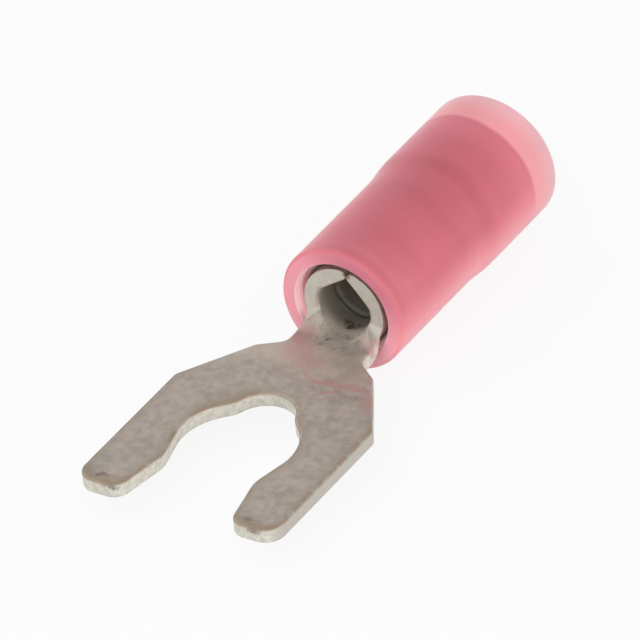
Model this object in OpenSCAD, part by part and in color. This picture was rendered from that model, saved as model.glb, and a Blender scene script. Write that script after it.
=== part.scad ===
// Insulated locking fork terminal, in millimetres.
// The origin is the centre of the stud seat, on the underside of the tongue.
// +Y runs from the stud to the wire entry, and +Z is the side that the barrel rises on.

/* [Sheet] */
// Thickness of the copper strip that tongue and barrel are stamped from
sheet_t = 0.57; // [0.55:0.01:0.75]

/* [Stud seat] */
// Diameter of the stud that the fork grips
stud_d = 4; // [3.9:0.05:4.2]
// Free play between the stud and its seat, all round
stud_play = 0.2; // [0.1:0.01:0.2]
// Gap between the tines at the locking throat
throat_w = 3.68; // [3.5:0.02:3.9]
// Distance from the stud's centre forward to the throat
throat_y = 1.8; // [1.6:0.02:2.2]
// Radius that eases the throat's corner
throat_r = 1.4; // [0.5:0.1:1.5]
// Diameter of the relief behind the stud that lets the tines spring
relief_d = 2.32; // [2:0.02:2.8]
// Distance from the stud's centre back to the relief's centre
relief_y = 1.76; // [1.6:0.02:2.2]
// Radius that eases the corners between the stud seat and the relief
blend_r = 1.2; // [0.3:0.1:1.6]

/* [Fork] */
// Width across both tines
fork_w = 8.1; // [7.6:0.05:8.8]
// Distance from the stud's centre forward to the tips of the tines
tip_reach = 4.1; // [3.8:0.02:5]
// Slope of the lead-in between the throat and the tips, in degrees
lead_a = 10.6; // [5:0.1:15]
// Radius of each tip's outer corner
tip_outer_r = 0.72; // [0.3:0.02:0.9]
// Radius of each tip's inner corner
tip_inner_r = 0.6; // [0.2:0.05:0.7]
// Distance from the stud's centre back to where the fork starts to taper
taper_y = 2.46; // [2:0.02:2.9]
// Slope of the taper's sides, in degrees
taper_a = 31; // [26:1:34]
// Radius of the corners at the start of the taper
taper_r = 0.35; // [0.1:0.05:0.6]
// Width across the shoulders, where the taper ends
shoulder_w = 4.84; // [4.4:0.02:5.2]
// Slope of the shoulders down to the neck, in degrees
shoulder_a = 36; // [20:1:40]
// Radius of the shoulders' corners
shoulder_r = 0.35; // [0.1:0.05:0.4]
// Width of the neck between tongue and barrel
neck_w = 3.08; // [2.8:0.02:3.3]
// Radius of the fillets at the foot of the neck
neck_r = 0.45; // [0.2:0.05:0.5]

/* [Barrel] */
// Distance from the stud's centre back to the front edge of the barrel
barrel_y = 7.28; // [7.1:0.02:8]
// Bore of the barrel, for the bare conductor
bore_d = 2.1; // [1.9:0.02:2.2]
// Length of the barrel
barrel_l = 5.1; // [4.6:0.05:5.8]
// How far the barrel's floor hangs below the tongue
barrel_drop = 0.2; // [0.1:0.01:0.3]
// Radius of the web that joins each wing of the barrel to the neck
web_r = 0.3; // [0.15:0.05:0.6]
// Lean of the butt seam from the top of the barrel, in degrees
seam_lean = 9; // [0:1:15]
// Slope of the flats that the strip's ends keep beside the seam, in degrees
flat_a = 43; // [38:1:44]
// How far the flats lie inside the round of the bore
flat_sink = 0.09; // [0.04:0.01:0.12]
// Radius of the strip's outer edges, which leave a groove along the seam
seam_r = 0.2; // [0.1:0.02:0.24]
// Number of grip grooves round the bore
groove_n = 3; // [2:1:4]
// Depth of a grip groove
groove_depth = 0.07; // [0.04:0.01:0.15]
// Width of a grip groove
groove_w = 0.2; // [0.1:0.02:0.3]
// Distance from one grip groove to the next
groove_pitch = 0.95; // [0.7:0.05:1.1]
// Distance from the barrel's front edge to the first grip groove
groove_y = 1.1; // [0.8:0.05:1.4]
// Depth of the countersink at the rear of the bore
sink_l = 0.4; // [0.2:0.05:0.6]

/* [Grip sleeve] */
// Thickness of the inner sleeve that grips the wire's insulation
grip_t = 0.28; // [0.25:0.01:0.32]
// Length of the grip sleeve
grip_l = 8.5; // [8.2:0.02:9]
// Inside diameter of the sleeve's rear, where the wire's insulation sits
grip_d = 3.7; // [3.6:0.02:3.94]
// Length of the cone between the sleeve's two diameters
cone_l = 1.4; // [1:0.1:1.8]

/* [Insulator] */
// Length of the insulator
shell_l = 10.55; // [10.4:0.05:11.2]
// Wall of the insulator round the barrel
front_wall = 0.57; // [0.45:0.01:0.7]
// Wall of the insulator round the wire's insulation
rear_wall = 0.45; // [0.35:0.01:0.6]
// How far the mouth stands forward of the barrel's front edge
mouth_proud = 0.14; // [0:0.02:0.2]
// Free play between the barrel and the insulator's lip, all round
lip_play = 0.25; // [0.1:0.01:0.25]
// Depth of the lip that holds the grip sleeve back
lip_l = 0.5; // [0.3:0.05:0.7]
// Radius of the rim at the mouth
mouth_r = 0.18; // [0.1:0.02:0.4]
// Radius of the rim at the wire entry
rear_r = 0.26; // [0.1:0.02:0.3]
// Widening of the wire entry at its rim, all round
entry_flare = 0.12; // [0.04:0.02:0.14]

/* [Hidden] */
$fn = 96;

// Small radius that breaks the inner edges of the insulator
edge_r = 0.08;
// Overlap that buries one solid's end in the next, so that they join
bite = 0.05;
// How far the buried ends keep inside the faces that they join
skin = 0.004;

seat_r = stud_d / 2 + stud_play;
relief_r = relief_d / 2;
throat = [throat_w / 2, -throat_y];
grip_a = atan2(throat[1], throat[0]) + acos(seat_r / norm(throat));
tip_inner_x = throat_w / 2 + (tip_reach - throat_y) * tan(lead_a);
shoulder_y = taper_y + (fork_w - shoulder_w) / 2 / tan(taper_a);
neck_y = shoulder_y + (shoulder_w - neck_w) / 2 * tan(shoulder_a);

bore_r = bore_d / 2;
barrel_r = bore_r + sheet_t;
mid_r = bore_r + sheet_t / 2;
axis_z = barrel_r - barrel_drop;

// The strip starts to roll halfway between the foot of the neck and the barrel's edge
roll_y = (neck_y + barrel_y) / 2 - web_r / 2;
web_y = barrel_y - web_r;

// The two flats beside the seam lie this far from the barrel's axis
flat_r = bore_r - flat_sink;
// Height above the axis where the flats meet the round of the bore
flat_foot_z = bore_r * cos(flat_a + acos(flat_r / bore_r));

// Places along the insulator, measured from its mouth
mouth_y = barrel_y - mouth_proud;
barrel_end = mouth_proud + barrel_l;
cone_end = barrel_end + cone_l;
grip_end = lip_l + grip_l;

grip_r = grip_d / 2;
grip_front_r = barrel_r + grip_t;
grip_rear_r = grip_r + grip_t;
lip_r = barrel_r + lip_play;
shell_front_r = grip_front_r + front_wall;
shell_rear_r = grip_rear_r + rear_wall;

tin = [0.66, 0.63, 0.59];
tin_dark = [0.56, 0.54, 0.52];
nylon = [0.84, 0.40, 0.47, 0.8];

// Unit vector from one point to another
function toward(a, b) = (b - a) / norm(b - a);

// Directions, half angle, tangent length and turn at corner i of an outline of [x, y, r] corners
function corner_at(pts, i) = [pts[i][0], pts[i][1]];
function ahead(pts, i) = toward(corner_at(pts, i), corner_at(pts, (i + 1) % len(pts)));
function behind(pts, i) = toward(corner_at(pts, i), corner_at(pts, (i + len(pts) - 1) % len(pts)));
function half_angle(pts, i) = acos(ahead(pts, i) * behind(pts, i)) / 2;
function tangent_l(pts, i) = pts[i][2] / tan(half_angle(pts, i));
function turn(pts, i) = cross(-behind(pts, i), ahead(pts, i));

// The points where the round at corner i starts and ends
function round_start(pts, i) = corner_at(pts, i) + behind(pts, i) * tangent_l(pts, i);
function round_end(pts, i) = corner_at(pts, i) + ahead(pts, i) * tangent_l(pts, i);

// The round of corner i: what its circle covers between the chord and the sharp corner
module round_cap(pts, i) {
    centre = corner_at(pts, i)
        + toward([0, 0], ahead(pts, i) + behind(pts, i)) * pts[i][2] / sin(half_angle(pts, i));
    intersection() {
        translate(centre) circle(pts[i][2]);
        polygon([round_start(pts, i), corner_at(pts, i), round_end(pts, i)]);
    }
}

// A closed outline of [x, y, r] corners, counter-clockwise, with each corner rounded by its r
module rounded_outline(pts) {
    corners = [for (i = [0 : len(pts) - 1]) i];
    rounds = [for (i = corners) if (pts[i][2] > 0) i];
    difference() {
        union() {
            polygon([
                for (i = corners)
                    each pts[i][2] > 0 ? [round_start(pts, i), round_end(pts, i)] : [corner_at(pts, i)]
            ]);
            for (i = rounds) if (turn(pts, i) > 0) round_cap(pts, i);
        }
        for (i = rounds) if (turn(pts, i) < 0) round_cap(pts, i);
    }
}

// Extrudes a section drawn across the barrel, x to the right and z up, along +Y
module along_y(y, l) {
    translate([0, y + l, axis_z]) rotate([90, 0, 0]) linear_extrude(l) children();
}

// Turns a profile of radius and distance behind the mouth about the barrel's axis
module turned() {
    translate([0, mouth_y, axis_z]) rotate([-90, 0, 0]) rotate_extrude() children();
}

// Right-hand side of the fork, from the tip back to the neck
fork_side = [
    [fork_w / 2, -tip_reach, tip_outer_r],
    [fork_w / 2, taper_y, taper_r],
    [shoulder_w / 2, shoulder_y, shoulder_r],
    [neck_w / 2, neck_y, neck_r],
    [neck_w / 2, roll_y, 0]
];

// Right-hand side of the slot, from where it leaves the stud seat to the tip
slot_side = [
    [seat_r * cos(grip_a), seat_r * sin(grip_a), 0],
    [throat[0], throat[1], throat_r],
    [tip_inner_x, -tip_reach, tip_inner_r]
];

function mirrored(side) = [for (i = [len(side) - 1 : -1 : 0]) [-side[i][0], side[i][1], side[i][2]]];

// Height of the centre of the round that touches both the stud seat and the relief
blend_y = (pow(seat_r + blend_r, 2) - pow(relief_r + blend_r, 2) + pow(relief_y, 2)) / (2 * relief_y);
blend_x = sqrt(pow(seat_r + blend_r, 2) - pow(blend_y, 2));

// The stud seat and the relief behind it, with the corners between them eased
module seat_and_relief() {
    circle(seat_r);
    translate([0, relief_y]) circle(relief_r);
    for (side = [-1, 1]) difference() {
        polygon([[0, 0], [side * blend_x, blend_y], [0, relief_y]]);
        translate([side * blend_x, blend_y]) circle(blend_r);
    }
}

// The flat tongue: two tines round the stud seat, shoulders and neck
module tongue() {
    linear_extrude(sheet_t) difference() {
        rounded_outline(concat(fork_side, mirrored(fork_side), mirrored(slot_side), slot_side));
        seat_and_relief();
    }
}

// Smooth step from 0 to 1
function ease(u) = u <= 0 ? 0 : u >= 1 ? 1 : u * u * (3 - 2 * u);

// Stations of the rolled neck as [y, half width of the strip along its curve]
neck_steps = 8;
web_steps = 9;
stations = concat(
    [for (i = [0 : neck_steps]) [roll_y - bite + (web_y - roll_y + bite) * i / neck_steps, neck_w / 2]],
    [for (i = [1 : web_steps])
        let (a = 90 * i / web_steps)
        [web_y + web_r * sin(a), neck_w / 2 + web_r * (1 - cos(a))]],
    [[barrel_y + bite, neck_w / 2 + web_r]]
);

// How far the strip is rolled at y, from 0 in the flat tongue to 1 in the barrel
function rolled(y) = ease((y - roll_y) / (barrel_y - roll_y));

// Point of the strip at y, a length s from its centre line and h above its middle
function strip_point(y, s, h) =
    let (
        bend = max(rolled(y), 0.001) / mid_r,
        a = s * bend * 180 / PI,
        floor_z = sheet_t / 2 + (axis_z - mid_r - sheet_t / 2) * rolled(y)
    )
    [
        (1 / bend - h) * sin(a),
        y,
        floor_z + 1 / bend - (1 / bend - h) * cos(a)
    ];

// One closed ring round the strip's section: along its underside, then back along its top
across = 15;
function strip_ring(station) = concat(
    [for (j = [-across : across]) strip_point(station[0], station[1] * j / across, skin - sheet_t / 2)],
    [for (j = [across : -1 : -across]) strip_point(station[0], station[1] * j / across, sheet_t / 2 - skin)]
);

// The scooped neck, where the flat strip curls up into the barrel's wings
module rolled_neck() {
    n = 2 * (2 * across + 1);
    last = len(stations) - 1;
    points = [for (st = stations) each strip_ring(st)];
    front = [
        for (k = [0 : 2 * across - 1])
            each [[k, n - 2 - k, k + 1], [k, n - 1 - k, n - 2 - k]]
    ];
    rear = [for (face = front) [for (k = [2 : -1 : 0]) last * n + face[k]]];
    sides = [
        for (i = [0 : last - 1])
            for (k = [0 : n - 1])
                let (m = (k + 1) % n)
                each [
                    [i * n + k, (i + 1) * n + m, (i + 1) * n + k],
                    [i * n + k, i * n + m, (i + 1) * n + m]
                ]
    ];
    polyhedron(points, concat(front, rear, sides));
}

// The bore across the barrel: round below, with the two flats meeting in an arch at the seam
module bore_section() {
    difference() {
        union() {
            circle(bore_r);
            translate([-bore_r / 2, 0]) square([bore_r, barrel_r]);
        }
        for (side = [-1, 1])
            rotate(side * flat_a) translate([-barrel_r, flat_r]) square([2 * barrel_r, barrel_r]);
    }
}

// A grip groove across the barrel, which ends where the flats start
module groove_section() {
    groove_r = bore_r + groove_depth;
    difference() {
        circle(groove_r);
        translate([-groove_r, flat_foot_z]) square(2 * groove_r);
    }
}

// The groove that the strip's two rounded edges leave outside along the seam
module seam_groove() {
    difference() {
        translate([-seam_r, barrel_r - seam_r]) square([2 * seam_r, 2 * seam_r]);
        for (side = [-1, 1]) translate([side * seam_r, barrel_r - seam_r]) circle(seam_r);
    }
}

// The rolled barrel with its butt seam, grip grooves and rear countersink
module barrel() {
    difference() {
        along_y(barrel_y, barrel_l) difference() {
            circle(barrel_r);
            rotate(-seam_lean) {
                bore_section();
                seam_groove();
            }
        }
        turned() translate([0, barrel_end - sink_l])
            polygon([[0, 0], [bore_r, 0], [bore_r + sink_l * 0.8, sink_l], [0, sink_l]]);
        for (i = [0 : groove_n - 1])
            along_y(barrel_y + groove_y + i * groove_pitch, groove_w) rotate(-seam_lean) groove_section();
    }
}

// Tongue and barrel are one piece of tin-plated copper strip
module terminal() {
    color(tin) union() {
        tongue();
        rolled_neck();
        barrel();
    }
}

// Thin metal sleeve: tight on the barrel, then wider behind it for the wire's insulation
module grip_sleeve() {
    color(tin_dark) turned() polygon([
        [barrel_r, lip_l],
        [grip_front_r, lip_l],
        [grip_front_r, barrel_end],
        [grip_rear_r, cone_end],
        [grip_rear_r, grip_end],
        [grip_r, grip_end],
        [grip_r, cone_end],
        [barrel_r, barrel_end]
    ]);
}

// The soft swell of the insulator's outside over the grip sleeve's cone
swell_steps = 8;
swell = [
    for (i = [0 : swell_steps])
        let (u = i / swell_steps)
        [shell_front_r + (shell_rear_r - shell_front_r) * ease(u), barrel_end + cone_l * u, 0]
];

// Moulded nylon sleeve, with a lip at the mouth and a flared wire entry
module insulator() {
    color(nylon) turned() rounded_outline(concat(
        [[lip_r, 0, edge_r], [shell_front_r, 0, mouth_r]],
        swell,
        [
            [shell_rear_r, shell_l, rear_r],
            [grip_rear_r + entry_flare, shell_l, 0],
            [grip_rear_r, (grip_end + shell_l) / 2, 0],
            [grip_rear_r, cone_end, 0],
            [grip_front_r, barrel_end, 0],
            [grip_front_r, lip_l, 0],
            [lip_r, lip_l, 0]
        ]
    ));
}

terminal();
grip_sleeve();
insulator();
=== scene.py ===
"""Insulated locking fork terminal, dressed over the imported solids.

The tinned stamping and the pink nylon are built here as fine meshes that stand for their CAD
nodes. The inner grip sleeve keeps its CAD node and gets a finish. Sizes are in millimetres, in
the CAD's own frame (x to the right, y to the rear, z up), and become metres when a mesh is made.
"""

from __future__ import annotations

import logging
import math
from dataclasses import dataclass, replace
from enum import Enum
from typing import Sequence

import bpy
import numpy as np
from mathutils import Matrix, Vector
from mathutils.geometry import delaunay_2d_cdt

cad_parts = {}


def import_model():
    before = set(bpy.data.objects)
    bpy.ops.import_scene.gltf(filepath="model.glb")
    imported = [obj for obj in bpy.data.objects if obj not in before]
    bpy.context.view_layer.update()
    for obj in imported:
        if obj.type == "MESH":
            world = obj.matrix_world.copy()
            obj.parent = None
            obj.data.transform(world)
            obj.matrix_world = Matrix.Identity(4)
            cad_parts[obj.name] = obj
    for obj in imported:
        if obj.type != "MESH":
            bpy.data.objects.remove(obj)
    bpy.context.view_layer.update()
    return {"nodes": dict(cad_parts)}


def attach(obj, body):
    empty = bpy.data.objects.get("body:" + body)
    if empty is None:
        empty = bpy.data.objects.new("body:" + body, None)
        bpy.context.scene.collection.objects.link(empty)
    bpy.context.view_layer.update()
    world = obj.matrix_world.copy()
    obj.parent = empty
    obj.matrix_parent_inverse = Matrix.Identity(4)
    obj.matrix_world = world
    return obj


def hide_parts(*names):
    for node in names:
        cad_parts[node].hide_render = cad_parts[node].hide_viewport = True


LOG = logging.getLogger("terminal")
MM = 0.001

# Shorter stretches of a line count as doubled points, and nothing is divided by less than TINY.
DOUBLED = 1e-5
TINY = 1e-12

# How many points are measured at once, which bounds the memory that it takes.
BATCH = 2000

# The share of a stain's or scrape's reach that it covers in full, and a scrape's soft ends.
CORE = 0.2
SCRAPE_END = 0.15

# Marks that reach further take their shape from the metal's blots, smaller ones from its grain,
# and where that noise is high, a mark reaches further by a share of its reach.
WIDE_MARK = 0.35
MARK_BULGE = 0.5

# The values between which a noise mostly lies.
CLOUDY = (0.3, 0.7)

# Points of the blank that lie closer than WELD are joined. NEARLY is the least value that the
# rolling divides by, and how far before the barrel a point may lie and still belong to it.
WELD = 1e-6
NEARLY = 0.001

Colour = tuple[float, float, float]
Place = tuple[float, float, float]
Point = tuple[float, float]
# A corner of a flat outline: its two coordinates and the radius of its round.
Corner = tuple[float, float, float]
Socket = bpy.types.NodeSocket

# The near-black tone serves for real soot and also for painted shade.
SOOT_AND_SHADE: Colour = (0.085, 0.07, 0.055)
ROSE: Colour = (0.45, 0.225, 0.215)
BROWN: Colour = (0.285, 0.215, 0.155)


def ease(value: np.ndarray | float) -> np.ndarray | float:
    """Give the smooth step from 0 to 1 at a place between 0 and 1."""
    u = np.clip(value, 0.0, 1.0)
    return u * u * (3.0 - 2.0 * u)


def arc(centre: Point, radius: float, start: float, end: float, step: float = 0.04) -> list[Point]:
    """Give the points of a circle's arc.

    Args:
        centre: The circle's centre.
        radius: Its radius.
        start: The angle that the arc starts at, in radians.
        end: The angle that it ends at.
        step: The longest distance between two points.

    Returns:
        The points from start to end, both included.
    """
    count = max(3, int(math.ceil(abs(end - start) * radius / step)))
    angles = np.linspace(start, end, count + 1)
    return [(centre[0] + radius * math.cos(a), centre[1] + radius * math.sin(a)) for a in angles]


def round_corner(before: Point, corner: Corner, after: Point, step: float = 0.03) -> list[Point]:
    """Round one corner of an outline.

    Args:
        before: The point before the corner.
        corner: The corner's place and its radius, 0 for a sharp one.
        after: The point after the corner.
        step: The longest distance between two points of the round.

    Returns:
        The points of the round in the outline's own direction.
    """
    here, radius = np.array(corner[:2]), corner[2]
    if radius <= 0:
        return [corner[:2]]
    back = np.array(before) - here
    ahead = np.array(after) - here
    back /= np.linalg.norm(back)
    ahead /= np.linalg.norm(ahead)
    half = math.acos(float(np.clip(back @ ahead, -1.0, 1.0))) / 2
    middle = back + ahead
    centre = here + middle / np.linalg.norm(middle) * radius / math.sin(half)
    first = here + back * radius / math.tan(half) - centre
    last = here + ahead * radius / math.tan(half) - centre
    start = math.atan2(first[1], first[0])
    sweep = (math.atan2(last[1], last[0]) - start + math.pi) % (2 * math.pi) - math.pi
    return arc((float(centre[0]), float(centre[1])), radius, start, start + sweep, step)


def thread(points: Sequence[Point], step: float, closed: bool) -> np.ndarray:
    """Add points along the long stretches of a line and drop doubled ones.

    Args:
        points: The line's points.
        step: The longest distance that stays undivided.
        closed: Whether the last point joins the first.

    Returns:
        An array of points, one row each.
    """
    line = [np.array(p, float) for p in points]
    ends = line[1:] + ([line[0]] if closed else [])
    out: list[np.ndarray] = []
    for a, b in zip(line, ends):
        length = float(np.linalg.norm(b - a))
        if length < DOUBLED:
            continue
        count = max(1, int(math.ceil(length / step)))
        out.extend(a + (b - a) * k / count for k in range(count))
    if not closed:
        out.append(line[-1])
    return np.array(out)


def distance_to(points: np.ndarray, starts: np.ndarray, ends: np.ndarray) -> np.ndarray:
    """Measure how far each point is from the nearest of some straight stretches.

    Args:
        points: Points, one row each.
        starts: Where each stretch starts.
        ends: Where each stretch ends.

    Returns:
        One distance for each point.
    """
    best = np.empty(len(points))
    run = ends - starts
    squares = np.maximum((run * run).sum(1), TINY)
    for low in range(0, len(points), BATCH):
        part = points[low:low + BATCH, None, :]
        share = ((part - starts) * run).sum(2) / squares
        foot = starts + np.clip(share, 0.0, 1.0)[..., None] * run
        best[low:low + BATCH] = np.sqrt(((part - foot) ** 2).sum(2)).min(1)
    return best


def inside(points: np.ndarray, loop: np.ndarray) -> np.ndarray:
    """Tell which points lie inside a closed loop.

    Args:
        points: Points, one row each.
        loop: The loop's corners.

    Returns:
        One truth value for each point.
    """
    x, y = points[:, 0:1], points[:, 1:2]
    x1, y1 = loop[:, 0], loop[:, 1]
    x2, y2 = np.roll(x1, -1), np.roll(y1, -1)
    height = np.where(y2 == y1, TINY, y2 - y1)
    crossing = ((y1 > y) != (y2 > y)) & (x < (x2 - x1) * (y - y1) / height + x1)
    return crossing.sum(1) % 2 == 1


def neighbours(count: int) -> list[tuple[int, int]]:
    """Give each place of a closed ring together with the next one."""
    return [(k, (k + 1) % count) for k in range(count)]


class Bodies(Enum):
    """The CAD's bodies: a terminal has no joints, so it has one."""

    ROOT = "root"


class Slots(Enum):
    """The record's material slots of the pieces built here."""

    TINNED_COPPER = "tinned_copper"
    PINK_NYLON = "pink_nylon"


@dataclass(frozen=True)
class Fade:
    """A share that changes smoothly while a measure goes from one value to another.

    Attributes:
        start: The measure where the change starts.
        full: The measure where it is complete, which may be the lower one.
        most: The share from there on.
        least: The share before the start.
    """

    start: float
    full: float
    most: float = 1.0
    least: float = 0.0

    def at(self, origin: float) -> Fade:
        """Give the same fade, with its two measures counted from an origin."""
        return replace(self, start=self.start + origin, full=self.full + origin)


@dataclass(frozen=True)
class Noise:
    """Cloudy noise between 0 and 1.

    Attributes:
        scale: How many clouds lie along a millimetre.
        detail: How many finer layers it has.
        rough: How strong the finer layers are.
        squeeze: How much closer its clouds lie along each axis.
    """

    scale: float
    detail: float
    rough: float
    squeeze: Place = (1.0, 1.0, 1.0)


class Sheet:
    """The node tree of a material or of the world, with short calls for what these use."""

    def __init__(self, name: str, of_world: bool = False) -> None:
        """Start an empty tree with its output node.

        Args:
            name: The name of the material or the world.
            of_world: Whether it is the world's tree.
        """
        self.owner = (bpy.data.worlds if of_world else bpy.data.materials).new(name)
        self.owner.use_nodes = True
        self.tree = self.owner.node_tree
        self.tree.nodes.clear()
        self.output = self.node("ShaderNodeOutputWorld" if of_world else "ShaderNodeOutputMaterial")

    def node(self, kind: str, **settings: object) -> bpy.types.Node:
        """Add a node.

        Args:
            kind: Blender's name for the node's type.
            **settings: The node's own settings.

        Returns:
            The new node.
        """
        made = self.tree.nodes.new(kind)
        for name, value in settings.items():
            setattr(made, name, value)
        return made

    def feed(self, socket: Socket, value: object) -> None:
        """Link a socket to another one, or set it to a plain value.

        Args:
            socket: The input to feed.
            value: Another node's output, a plain value, or None to leave the input alone.
        """
        if isinstance(value, Socket):
            self.tree.links.new(value, socket)
        elif value is not None:
            socket.default_value = value

    def sum(self, kind: str, *values: Socket | float) -> Socket:
        """Work out a sum, such as ADD or MAXIMUM, over its values from the first to the last.

        Args:
            kind: Blender's name for the sum.
            *values: One value for a sum like ABSOLUTE, and two or more for the others.

        Returns:
            The result.
        """
        total, *others = values
        for value in others or [None]:
            made = self.node("ShaderNodeMath", operation=kind)
            self.feed(made.inputs[0], total)
            self.feed(made.inputs[1], value)
            total = made.outputs[0]
        return total

    def weigh(self, *parts: tuple[Socket, float]) -> Socket:
        """Add values, each times its own weight."""
        return self.sum("ADD", *(self.sum("MULTIPLY", value, weight) for value, weight in parts))

    def vectors(self, kind: str, first: Socket, second: Place) -> Socket:
        """Work out a sum of a vector and a fixed one.

        Args:
            kind: Blender's name for the sum, such as MULTIPLY or DISTANCE.
            first: The vector.
            second: The fixed one.

        Returns:
            The result: a number for DISTANCE, and a vector for the others.
        """
        made = self.node("ShaderNodeVectorMath", operation=kind)
        self.feed(made.inputs[0], first)
        self.feed(made.inputs[1], second)
        return made.outputs["Value" if kind == "DISTANCE" else "Vector"]

    def attribute(self, name: str) -> Socket:
        """Read a number that the mesh stores at each vertex."""
        return self.node("ShaderNodeAttribute", attribute_name=name).outputs["Fac"]

    def seen(self) -> Socket:
        """Give 1 for rays of the camera, of gloss and of glass, and 0 for the rest."""
        path = self.node("ShaderNodeLightPath").outputs
        return self.sum("MAXIMUM", path["Is Camera Ray"], path["Is Glossy Ray"], path["Is Transmission Ray"])

    def noise(self, place: Socket, clouds: Noise) -> Socket:
        """Read a noise.

        Args:
            place: The place that it is read at, in millimetres.
            clouds: The noise.

        Returns:
            Its value, from 0 to 1.
        """
        made = self.node("ShaderNodeTexNoise")
        self.feed(made.inputs["Vector"], self.vectors("MULTIPLY", place, clouds.squeeze))
        self.feed(made.inputs["Scale"], clouds.scale)
        self.feed(made.inputs["Detail"], clouds.detail)
        self.feed(made.inputs["Roughness"], clouds.rough)
        return made.outputs["Fac"]

    def fade(self, measure: Socket, by: Fade) -> Socket:
        """Turn a measure into a share.

        Args:
            measure: The measure.
            by: Where the share changes, and how far.

        Returns:
            The share.
        """
        made = self.node("ShaderNodeMapRange", interpolation_type="SMOOTHSTEP")
        self.feed(made.inputs["Value"], measure)
        self.feed(made.inputs["From Min"], by.start)
        self.feed(made.inputs["From Max"], by.full)
        self.feed(made.inputs["To Min"], by.least)
        self.feed(made.inputs["To Max"], by.most)
        return made.outputs[0]

    def between(self, measure: Socket, begins: Fade, ends: Fade) -> Socket:
        """Give the share of a stretch that begins and ends softly."""
        return self.sum("MULTIPLY", self.fade(measure, begins), self.fade(measure, ends))

    def blend(self, share: Socket, first: Colour | Socket, second: Colour | Socket) -> Socket:
        """Mix two colours.

        Args:
            share: The share of the second colour.
            first: The colour where the share is 0.
            second: The colour where it is 1.

        Returns:
            The mixed colour.
        """
        made = self.node("ShaderNodeMix", data_type="RGBA")
        # The node keeps its inputs 6 and 7 and its output 2 for colours.
        for index, value in ((0, share), (6, first), (7, second)):
            self.feed(made.inputs[index], (*value, 1.0) if isinstance(value, tuple) else value)
        return made.outputs[2]

    def bump(self, height: Socket, depth: float) -> Socket:
        """Turn a height into a surface direction.

        Args:
            height: The height, from 0 to 1.
            depth: The height of 1 in millimetres.

        Returns:
            The direction for a shader's Normal socket.
        """
        made = self.node("ShaderNodeBump")
        self.feed(made.inputs["Distance"], depth * MM)
        self.feed(made.inputs["Height"], height)
        return made.outputs[0]

    def close(self, shader: bpy.types.Node) -> bpy.types.ID:
        """Link the last shader to the output, and give the material or the world."""
        self.feed(self.output.inputs["Surface"], shader.outputs[0])
        return self.owner

    def finish(self, **sockets: object) -> bpy.types.Material:
        """Close the tree with one principled shader.

        Args:
            **sockets: The shader's inputs, with _ for each space in a name.

        Returns:
            The material.
        """
        shader = self.node("ShaderNodeBsdfPrincipled")
        for name, value in sockets.items():
            self.feed(shader.inputs[name.replace("_", " ")], value)
        return self.close(shader)


class Coat(Sheet):
    """The node tree of a finish on the part, which knows the place that it colours.

    Attributes:
        place: That place in millimetres.
        x: How far it lies to the right.
        y: How far to the rear.
        rise: How far above the barrel's axis.
        radius: How far from that axis.
    """

    def __init__(self, name: str, axis_z: float) -> None:
        """Start the tree with the place on the part.

        Args:
            name: The material's name.
            axis_z: The height of the barrel's axis.
        """
        super().__init__(name)
        where = self.node("ShaderNodeTexCoord").outputs["Object"]
        self.place = self.vectors("MULTIPLY", where, (1.0 / MM,) * 3)
        split = self.node("ShaderNodeSeparateXYZ")
        self.feed(split.inputs[0], self.place)
        self.x, self.y, z = split.outputs
        self.rise = self.sum("SUBTRACT", z, axis_z)
        squares = [self.sum("MULTIPLY", side, side) for side in (self.x, self.rise)]
        self.radius = self.sum("SQRT", self.sum("ADD", *squares))


@dataclass(frozen=True)
class Mark:
    """A small stain, rub or scar on the metal, or a small patch of painted shade.

    Attributes:
        at: Its middle.
        reach: How far it spreads.
        strength: How strongly it covers the metal, up to 1.
        tone: Its colour.
        ragged: How uneven its edge is, as a share of its reach.
    """

    at: Place
    reach: float
    strength: float
    tone: Colour = SOOT_AND_SHADE
    ragged: float = 0.8

    def share(self, sheet: Coat, blots: Socket, grain: Socket) -> Socket:
        """Give how strongly the mark covers each place.

        Args:
            sheet: The node tree to build in.
            blots: The noise that shapes the edge of a wide mark.
            grain: The finer noise that shapes a small one's.

        Returns:
            The share of its tone.
        """
        noise = blots if self.reach > WIDE_MARK else grain
        uneven = sheet.fade(noise, Fade(*CLOUDY, -self.reach * MARK_BULGE, self.reach * self.ragged))
        off = sheet.sum("ADD", sheet.vectors("DISTANCE", sheet.place, self.at), uneven)
        return sheet.fade(off, Fade(self.reach, self.reach * CORE, self.strength))


@dataclass(frozen=True)
class Scrape:
    """A thin scrape or stain across the flat tongue.

    Attributes:
        start: Where it starts.
        end: Where it ends, further right.
        width: Half its width.
        strength: How strongly it covers the metal, up to 1.
        tone: Its colour.
    """

    start: Point
    end: Point
    width: float
    strength: float
    tone: Colour = ROSE

    def share(self, sheet: Coat, wobble: Socket) -> Socket:
        """Give how strongly the scrape covers each place.

        Args:
            sheet: The node tree to build in.
            wobble: How far the scrape strays from its line.

        Returns:
            The share of its tone.
        """
        slope = (self.end[1] - self.start[1]) / (self.end[0] - self.start[0])
        line = sheet.sum("ADD", sheet.sum("MULTIPLY", sheet.x, slope), self.start[1] - slope * self.start[0])
        off = sheet.sum("SUBTRACT", sheet.sum("ADD", sheet.y, wobble), line)
        near = sheet.fade(sheet.sum("ABSOLUTE", off), Fade(self.width, self.width * CORE, self.strength))
        begins = Fade(-SCRAPE_END, SCRAPE_END).at(self.start[0])
        ends = Fade(SCRAPE_END, -SCRAPE_END).at(self.end[0])
        return sheet.sum("MULTIPLY", near, sheet.between(sheet.x, begins, ends))


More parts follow.
